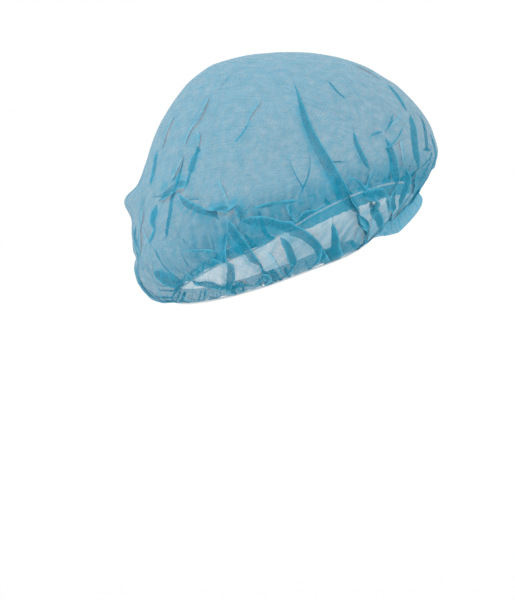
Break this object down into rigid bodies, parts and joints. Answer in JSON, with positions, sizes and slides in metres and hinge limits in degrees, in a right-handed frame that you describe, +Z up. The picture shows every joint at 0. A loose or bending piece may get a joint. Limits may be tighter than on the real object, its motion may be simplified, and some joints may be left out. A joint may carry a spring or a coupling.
{
  "type": "disposable hairnet bouffant cap",
  "caption": "Puffed nonwoven bouffant cap, hollow and open below, gathered on a thin elastic, with folds, a drooping back pouch and a short gathered edge.",
  "frame": {"origin": "centre of the head opening, inside the elastic loop", "axes": "+Z up as worn, -Y towards the forehead, -X the wearer's right"},
  "size_m": [0.2105, 0.2502, 0.1937],
  "materials": {
    "nonwoven_cloth": "thin pale blue spunbond nonwoven, slightly translucent",
    "white_elastic": "white covered elastic thread"
  },
  "bodies": {
    "root": {"cap_cloth": "nonwoven_cloth", "elastic_band": "white_elastic"}
  },
  "joints": []
}
